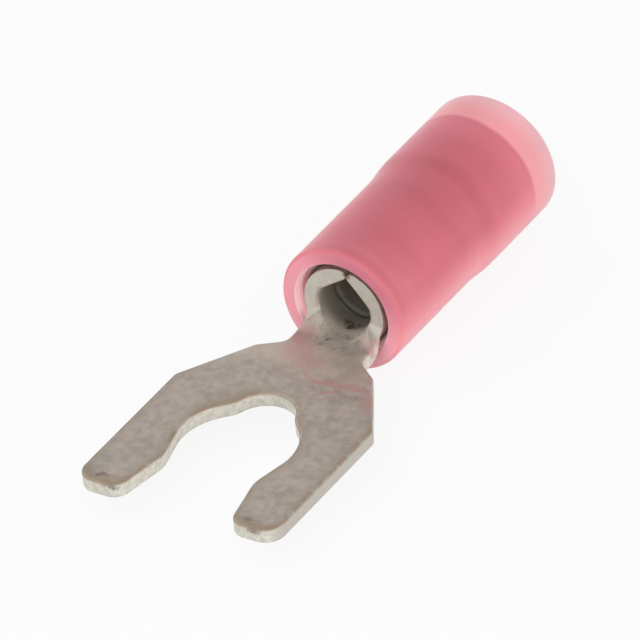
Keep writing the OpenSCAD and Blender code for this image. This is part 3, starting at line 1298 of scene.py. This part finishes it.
    @property
    def rear_y(self) -> float:
        """Give the place where the barrel ends."""
        return self.barrel_y + self.barrel_l

    @property
    def flat_end(self) -> float:
        """Give the angle between the seam and the far end of a flat beside it."""
        return self.flat_a + math.acos((self.bore_r - self.flat_sink) / self.bore_r)

    def from_seam(self, flat: np.ndarray) -> np.ndarray:
        """Give each point's angle from the seam, in the rolled barrel."""
        return math.pi - np.abs(flat[:, 0] / self.mid_r + self.seam_lean)

    def slot_half(self) -> list[Point]:
        """Draw the right half of the slot.

        Returns:
            The points from the back of the relief to the tip.
        """
        far, near = self.seat_r + self.blend_r, self.relief_r + self.blend_r
        blend_y = (far ** 2 - near ** 2 + self.relief_y ** 2) / (2 * self.relief_y)
        blend_x = math.sqrt(far ** 2 - blend_y ** 2)
        relief_end = math.atan2(blend_y - self.relief_y, blend_x)
        seat_start = math.atan2(blend_y, blend_x)
        throat_x, throat_y = self.throat
        seat_end = math.atan2(throat_y, throat_x) + math.acos(self.seat_r / math.hypot(throat_x, throat_y))
        tip = (throat_x + (self.tip_reach + throat_y) * math.tan(self.lead_a), -self.tip_reach)
        line = arc((0.0, self.relief_y), self.relief_r, math.pi / 2, relief_end)
        line += arc((blend_x, blend_y), self.blend_r, relief_end + math.pi, seat_start + math.pi)
        line += arc((0.0, 0.0), self.seat_r, seat_start, seat_end)
        line += round_corner(line[-1], (*self.throat, self.throat_r), tip)
        line += round_corner(self.throat, (*tip, self.tip_inner_r), (self.fork_w / 2, -self.tip_reach))
        return line

    def side_half(self, wing: float) -> list[Point]:
        """Draw the right half of the outside.

        Args:
            wing: Half width of the blank where it becomes the barrel.

        Returns:
            The points from the tip to the middle of the rear edge.
        """
        neck_x, web_y = self.neck_w / 2, self.barrel_y - self.web_r
        corners: list[Corner] = [
            (0.0, -self.tip_reach, 0.0),
            (self.fork_w / 2, -self.tip_reach, self.tip_outer_r),
            (self.fork_w / 2, self.taper_y, self.taper_r),
            (self.shoulder_w / 2, self.shoulder_y, self.shoulder_r),
            (neck_x, self.neck_y, self.neck_r),
            (neck_x, web_y, 0.0),
        ]
        line: list[Point] = []
        for before, corner, after in zip(corners, corners[1:], corners[2:]):
            line += round_corner(before[:2], corner, after[:2])
        line += arc((neck_x + self.web_r, web_y), self.web_r, math.pi, math.pi / 2, self.web_step)
        line += [(wing, self.barrel_y), (wing, self.rear_y), (0.0, self.rear_y)]
        return line

    def wings(self) -> tuple[float, float]:
        """Measure the part of the blank that becomes the barrel.

        Returns:
            Its half widths left and right of the blank's middle, which meet at the seam.
        """
        left = self.mid_r * (math.pi + self.seam_lean) - self.seam_gap / 2
        right = self.mid_r * (math.pi - self.seam_lean) - self.seam_gap / 2
        return left, right

    def outline(self) -> np.ndarray:
        """Draw the flat blank.

        Returns:
            Its outline as a closed loop of close points.
        """
        left_wing, right_wing = self.wings()
        right = self.slot_half() + self.side_half(right_wing)
        left = [(-x, y) for x, y in self.slot_half() + self.side_half(left_wing)]
        return thread(right + left[::-1][1:-1], self.outline_step, True)

    def seam_stretches(self) -> tuple[np.ndarray, np.ndarray]:
        """Give the two edges of the blank that meet at the seam.

        Returns:
            Their starts and their ends.
        """
        left_wing, right_wing = self.wings()
        starts = np.array([(right_wing, self.barrel_y), (-left_wing, self.barrel_y)])
        ends = np.array([(right_wing, self.rear_y), (-left_wing, self.rear_y)])
        return starts, ends

    def groove_rows(self) -> list[float]:
        """Give the places along the blank where the grip grooves need rows of points.

        Returns:
            Four places for each groove: the start and the end of both its sides.
        """
        lead, trail = self.groove_side
        rows: list[float] = []
        for start in (self.barrel_y + where for where in self.groove_y):
            end = start + self.groove_w
            rows += [start + lead, start + trail, end - trail, end - lead]
        return rows

    def fill_points(self, loop: np.ndarray) -> np.ndarray:
        """Choose the points that fill the blank.

        Args:
            loop: The blank's outline.

        Returns:
            Rows that follow the outline, and an even field inside them.
        """
        ahead = np.roll(loop, -1, 0) - np.roll(loop, 1, 0)
        normal = np.stack([-ahead[:, 1], ahead[:, 0]], 1) / np.linalg.norm(ahead, axis=1)[:, None]
        if not inside((loop + normal * self.offsets[0])[:1], loop)[0]:
            normal = -normal
        starts, ends = loop, np.roll(loop, -1, 0)
        rows = []
        for offset in self.offsets:
            row = loop + normal * offset
            near = np.abs(distance_to(row, starts, ends) - offset) < offset * self.offset_slack
            rows.append(row[near & inside(row, loop)])
        low, high = loop.min(0), loop.max(0)
        xs = np.arange(low[0], high[0], self.spacing)
        ys = np.arange(low[1], high[1], self.spacing * self.row_share)
        ys = np.sort(np.concatenate([ys, self.groove_rows()]))
        shifts = (0.0, self.spacing / 2)
        grid = np.array([(x + shifts[k % 2], y) for k, y in enumerate(ys) for x in xs])
        grid = grid[inside(grid, loop)]
        grid = grid[distance_to(grid, starts, ends) > self.offsets[-1] + self.spacing * self.clearance]
        return np.concatenate(rows + [grid])

    def triangles(self, loop: np.ndarray) -> tuple[np.ndarray, list[tuple[int, ...]], list[int]]:
        """Fill the blank with triangles.

        Args:
            loop: The blank's outline.

        Returns:
            The points, the triangles, seen from above, and the outline's points in their order.
        """
        points = np.concatenate([loop, self.fill_points(loop)])
        count = len(loop)
        made = delaunay_2d_cdt([Vector(p) for p in points.tolist()], [], [list(range(count))], 1, WELD)
        flat = np.array([(v.x, v.y) for v in made[0]])
        signs = [np.cross(flat[b] - flat[a], flat[c] - flat[a]) for a, b, c in made[2]]
        faces = [tuple(f) if s > 0 else tuple(f)[::-1] for f, s in zip(made[2], signs)]
        origin = {old: new for new, olds in enumerate(made[3]) for old in olds}
        return flat, faces, [origin[k] for k in range(count)]

    def top_height(self, flat: np.ndarray, edge: np.ndarray) -> np.ndarray:
        """Give the height of the blank's upper face, with its rolled-over edges and grooves.

        Args:
            flat: The points in the blank.
            edge: Each point's distance from the outline.

        Returns:
            One height for each point.
        """
        reach, depth = self.rollover
        part = np.clip((reach - edge) / reach, 0.0, 1.0)
        height = self.sheet_t - depth * (1.0 - np.sqrt(1.0 - part ** 2))
        runout = ease((self.from_seam(flat) - self.flat_end) / self.groove_fade)
        lead, trail = self.groove_side
        for start in (self.barrel_y + where for where in self.groove_y):
            front = ease((flat[:, 1] - start - lead) / (trail - lead))
            rear = ease((start + self.groove_w - lead - flat[:, 1]) / (trail - lead))
            height = height - self.groove_depth * front * rear * runout
        sink = np.clip((flat[:, 1] - self.rear_y + self.sink_l) / self.sink_l, 0.0, 1.0)
        return height - sink * self.sink_l * self.sink_slope

    def low_height(self, flat: np.ndarray, edge: np.ndarray) -> np.ndarray:
        """Give the height of the blank's lower face, rounder along the seam.

        Args:
            flat: The points in the blank.
            edge: Each point's distance from the outline.

        Returns:
            One height for each point.
        """
        part = np.clip((self.burr - edge) / self.burr, 0.0, 1.0)
        seam = np.clip((self.seam_r - distance_to(flat, *self.seam_stretches())) / self.seam_r, 0.0, 1.0)
        height = self.burr * (1.0 - np.sqrt(1.0 - part ** 2))
        return np.maximum(height, self.seam_r * (1.0 - np.sqrt(1.0 - seam ** 2)))

    def rolled(self, flat: np.ndarray, height: np.ndarray) -> np.ndarray:
        """Roll points of the thick blank up into the neck and the barrel.

        Args:
            flat: The points in the blank.
            height: Their heights above the blank's underside.

        Returns:
            The points' places on the part.
        """
        turn = ease((flat[:, 1] - self.roll_y) / (self.barrel_y - self.roll_y))
        # The flat tongue counts as bent by a hair, so that its radius stays a number.
        bend = np.maximum(turn, NEARLY) / self.mid_r
        angle = flat[:, 0] * bend
        floor_z = self.sheet_t / 2 + (self.axis_z - self.mid_r - self.sheet_t / 2) * turn
        from_seam = self.from_seam(flat)
        lean = np.maximum(np.cos(from_seam - self.flat_a), NEARLY)
        in_barrel = flat[:, 1] > self.barrel_y - NEARLY
        on_flat = in_barrel & (from_seam < self.flat_end)
        inner = np.where(on_flat, (self.bore_r - self.flat_sink) / lean, self.bore_r)
        section = self.barrel_r - height / self.sheet_t * (self.barrel_r - inner)
        radius = np.where(in_barrel, section, 1.0 / bend - (height - self.sheet_t / 2))
        z = floor_z + 1.0 / bend - radius * np.cos(angle)
        return np.stack([radius * np.sin(angle), flat[:, 1], z], 1)

    def build(self) -> bpy.types.Object:
        """Build the stamping and dress it.

        Returns:
            The stamping's object.
        """
        loop = self.outline()
        flat, faces, rim = self.triangles(loop)
        edge = distance_to(flat, loop, np.roll(loop, -1, 0))
        edge[rim] = 0.0
        top, low = self.top_height(flat, edge), self.low_height(flat, edge)
        layers = [top, low] + [top[rim] + (low[rim] - top[rim]) * share for share in self.wall_rows]
        plans = [flat, flat] + [flat[rim]] * len(self.wall_rows)
        places = np.concatenate([self.rolled(plan, layer) for plan, layer in zip(plans, layers)])
        size, count = len(flat), len(loop)
        under = [tuple(v + size for v in f[::-1]) for f in faces]
        starts = [2 * size + k * count for k in range(len(self.wall_rows))]
        rings = [rim, *(list(range(start, start + count)) for start in starts), [v + size for v in rim]]
        walls = [
            (a[k], b[k], b[m], a[m])
            for a, b in zip(rings, rings[1:])
            for k, m in neighbours(count)
        ]
        if np.cross(loop[1] - loop[0], loop.mean(0) - loop[0]) < 0:
            walls = [w[::-1] for w in walls]
        piece = add_mesh("terminal_stamping", places, faces + under + walls)
        self.dress(piece, edge, np.array(rim))
        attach(piece, Bodies.ROOT.value)
        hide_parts("terminal")
        return piece

    def dress(self, piece: bpy.types.Object, edge: np.ndarray, rim: np.ndarray) -> None:
        """Give the stamping its finish, and the numbers that the finish reads at each vertex.

        Args:
            piece: The stamping, with its upper face's points first, then its lower face's, and
                then those of the walls' rows.
            edge: How far each point of the upper face is from the outline.
            rim: Which of them lie on the outline.
        """
        size = len(edge)
        wall = np.zeros(len(piece.data.vertices))
        wall[2 * size:] = 1.0
        wall[rim], wall[rim + size] = self.wall_rims
        store(piece, "wall", wall)
        full, fades = self.brown_flat
        brown = np.zeros(len(wall))
        brown[:size] = np.exp(-np.maximum(edge - full, 0.0) / fades)
        brown[2 * size:] = np.repeat(self.brown_wall, len(rim))
        store(piece, "edge", brown)
        piece.data.materials.append(TinnedCopper(self.axis_z).build())


@dataclass
class GripSleeve:
    """The thin inner sleeve, which keeps its CAD node.

    Attributes:
        axis_z: The height of its axis.
        front_y: Where it starts.
        cone_front_y: Where it starts to widen.
        cone_rear_y: Where it is at its widest.
        rear_y: Where it ends.
    """

    axis_z: float = 1.42
    front_y: float = 7.64
    cone_front_y: float = 12.38
    cone_rear_y: float = 13.78
    rear_y: float = 16.14

    def build(self, node: bpy.types.Object) -> bpy.types.Object:
        """Dress the CAD node.

        Args:
            node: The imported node's object.

        Returns:
            The same object.
        """
        material = GripMetal(self.front_y, self.axis_z).build()
        for slot in node.material_slots:
            slot.material = material
        return node


@dataclass
class Insulator:
    """The moulded nylon sleeve, turned as one smooth shell.

    Attributes:
        grip: The sleeve under it, which its colour shows.
        mouth_y: Where its mouth is.
        length: Its length.
        lip_r: Radius of the hole in its lip.
        lip_l: How thick the lip is, along the part.
        front_r: Outside radius of its front part.
        rear_r: Outside radius behind the swell.
        grip_front_r: Inside radius round the sleeve's front part.
        grip_rear_r: Inside radius round the sleeve's rear part.
        entry_flare: How far the wire entry opens.
        entry_round: Radius of the round where it starts to.
        mouth_round: Radius of the mouth's outer edge.
        lip_round: Radius of the lip's front edge.
        lip_foot: Radius of the lip's rear edge.
        rear_round: Radius of the rear's outer edge.
        inner_round: Radius of the small rounds inside.
        round_step: Longest distance between the points of a round.
        step: Longest distance between two points of the section.
        swell_steps: How many points draw the swell.
        segments: How many flats make the round.
        relief: The hair's breadth that its inside keeps off the sleeve.
    """

    grip: GripSleeve
    mouth_y: float = 7.14
    length: float = 10.55
    lip_r: float = 1.87
    lip_l: float = 0.5
    front_r: float = 2.47
    rear_r: float = 2.58
    grip_front_r: float = 1.9
    grip_rear_r: float = 2.13
    entry_flare: float = 0.12
    entry_round: float = 0.3
    mouth_round: float = 0.2
    lip_round: float = 0.09
    lip_foot: float = 0.03
    rear_round: float = 0.26
    inner_round: float = 0.05
    round_step: float = 0.025
    step: float = 0.22
    swell_steps: int = 15
    segments: int = 224
    relief: float = 0.006

    def profile(self) -> np.ndarray:
        """Draw the shell's section.

        Returns:
            A closed loop of points: each one's radius, and its distance behind the mouth.
        """
        cone_front, cone_rear = self.grip.cone_front_y - self.mouth_y, self.grip.cone_rear_y - self.mouth_y
        grip_rear = self.grip.rear_y - self.mouth_y
        inner_rear = self.grip_rear_r + self.relief
        inner_front = self.grip_front_r + self.relief
        growth, cone_l = self.rear_r - self.front_r, cone_rear - cone_front
        swell = [
            (self.front_r + growth * float(ease(u)), cone_front + cone_l * u, 0.0)
            for u in np.linspace(0.0, 1.0, self.swell_steps)
        ]
        corners: list[Corner] = [
            (self.lip_r, 0.0, self.lip_round),
            (self.front_r, 0.0, self.mouth_round),
            *swell,
            (self.rear_r, self.length, self.rear_round),
            (self.grip_rear_r + self.entry_flare, self.length, self.inner_round),
            (inner_rear, (grip_rear + self.length) / 2, self.entry_round),
            (inner_rear, cone_rear, self.inner_round),
            (inner_front, cone_front, self.inner_round),
            (inner_front, self.lip_l, 0.0),
            (self.lip_r, self.lip_l, self.lip_foot),
        ]
        line: list[Point] = []
        for k, corner in enumerate(corners):
            before, after = corners[k - 1], corners[(k + 1) % len(corners)]
            line += round_corner(before[:2], corner, after[:2], self.round_step)
        return thread(line, self.step, True)

    def build(self) -> bpy.types.Object:
        """Build the shell and dress it.

        Returns:
            The shell's object.
        """
        section = self.profile()
        count = len(section)
        axis_z = self.grip.axis_z
        angles = np.linspace(0.0, 2 * math.pi, self.segments, endpoint=False)
        places = np.array([
            (r * math.cos(a), self.mouth_y + y, axis_z + r * math.sin(a))
            for a in angles
            for r, y in section
        ])
        faces = [
            (i * count + k, i * count + m, j * count + m, j * count + k)
            for i, j in neighbours(self.segments)
            for k, m in neighbours(count)
        ]
        piece = add_mesh("insulator_shell", places, faces)
        finish = PinkNylon(
            metal_rear=self.grip.rear_y,
            mouth_y=self.mouth_y,
            end_y=self.mouth_y + self.length,
            axis_z=axis_z,
        )
        piece.data.materials.append(finish.build())
        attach(piece, Bodies.ROOT.value)
        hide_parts("insulator")
        return piece


@dataclass(frozen=True)
class Softbox:
    """A large soft lamp.

    Attributes:
        name: The lamp's name.
        at: Its place in metres.
        size: Its width and height in metres.
        watts: Its power.
    """

    name: str
    at: Place
    size: Point
    watts: float


@dataclass
class Studio:
    """The floor, the lamps, the world and the camera.

    Attributes:
        rests: Where the nylon's underside touches the floor: two places along it, with heights.
        floor_side: The floor's side.
        ambient: How bright the surroundings are, where 1 is white.
        lamps: The lamps.
        aim: The place that they point at, in metres.
        eye: The camera's place in metres.
        right: The direction to the right of its picture.
        down: The direction down its picture.
        ahead: The direction that it looks in.
        lens: Its focal length.
        sensor: Its sensor's width.
        clip: The nearest and the furthest distance that it sees, in metres.
    """

    rests: tuple[Point, Point] = ((7.34, -1.05), (13.78, -1.16))
    floor_side: float = 3000.0
    ambient: float = 0.61
    lamps: tuple[Softbox, ...] = (
        Softbox("lamp_left", (-0.35, -0.05, 0.22), (0.4, 0.4), 0.50),
        Softbox("lamp_right", (0.42, -0.04, 0.055), (0.6, 0.10), 1.15),
        Softbox("lamp_front", (0.04, -0.42, 0.16), (0.4, 0.3), 0.65),
    )
    aim: Place = (0.0, 0.006, 0.0)
    eye: Place = (0.1700484, -0.2380708, 0.2115357)
    right: Place = (0.8490899, 0.521898, -0.0816625)
    down: Place = (0.2460172, -0.527489, -0.813161)
    ahead: Place = (-0.4674632, 0.6703565, -0.5762815)
    lens: float = 587.64
    sensor: float = 36.0
    clip: Point = (0.02, 10.0)

    def build_floor(self) -> bpy.types.Object:
        """Lay the floor under the sleeve's front rim and the end of its swell.

        Returns:
            The floor's object.
        """
        (y1, z1), (y2, z2) = self.rests
        slope = (z2 - z1) / (y2 - y1)
        half = self.floor_side / 2
        corners = [
            (x, y, z1 + (y - y1) * slope)
            for x, y in ((-half, -half), (half, -half), (half, half), (-half, half))
        ]
        floor = add_mesh("floor", np.array(corners), [(0, 1, 2, 3)])
        floor.data.materials.append(PaleFloor().build())
        return floor

    def build_world(self) -> bpy.types.World:
        """Make the surroundings: white where they are seen, and a plain level of light elsewhere.

        Returns:
            The world.
        """
        sheet = Sheet("white_tent", of_world=True)
        background = sheet.node("ShaderNodeBackground")
        sheet.feed(background.inputs["Color"], (1.0, 1.0, 1.0, 1.0))
        strength = sheet.fade(sheet.seen(), Fade(0.0, 1.0, least=self.ambient))
        sheet.feed(background.inputs["Strength"], strength)
        bpy.context.scene.world = sheet.close(background)
        return bpy.context.scene.world

    def build_lamp(self, box: Softbox) -> bpy.types.Object:
        """Hang one soft lamp, aimed at the part's middle.

        Args:
            box: The lamp's place, size and power.

        Returns:
            The lamp's object.
        """
        light = bpy.data.lights.new(box.name, "AREA")
        light.shape = "RECTANGLE"
        light.size, light.size_y = box.size
        light.energy = box.watts
        lamp = bpy.data.objects.new(box.name, light)
        lamp.location = box.at
        lamp.rotation_mode = "QUATERNION"
        lamp.rotation_quaternion = (Vector(self.aim) - Vector(box.at)).to_track_quat("-Z", "Y")
        bpy.context.scene.collection.objects.link(lamp)
        return lamp

    def build_camera(self) -> bpy.types.Object:
        """Set up the camera at the photograph's angle.

        Returns:
            The camera's object.
        """
        data = bpy.data.cameras.new("camera")
        data.lens = self.lens
        data.sensor_width = self.sensor
        data.clip_start, data.clip_end = self.clip
        camera = bpy.data.objects.new("camera", data)
        turn = Matrix((self.right, -Vector(self.down), -Vector(self.ahead))).transposed()
        camera.matrix_world = Matrix.Translation(self.eye) @ turn.to_4x4()
        bpy.context.scene.collection.objects.link(camera)
        bpy.context.scene.camera = camera
        return camera

    def build(self) -> None:
        """Build the whole studio."""
        self.build_camera()
        self.build_world()
        self.build_floor()
        for box in self.lamps:
            self.build_lamp(box)
        bpy.context.scene.view_settings.view_transform = "Standard"


def main() -> None:
    """Load the frame, build each piece on it and log the progress."""
    logging.basicConfig(level=logging.INFO, format="%(name)s: %(message)s")
    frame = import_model()
    Studio().build()
    LOG.info("studio is up")
    stamping = Stamping().build()
    LOG.info("stamping: %d faces", len(stamping.data.polygons))
    grip = GripSleeve()
    grip.build(frame["nodes"]["grip_sleeve"])
    LOG.info("grip sleeve is dressed")
    shell = Insulator(grip).build()
    LOG.info("insulator: %d faces", len(shell.data.polygons))


if __name__ == "__main__":
    main()
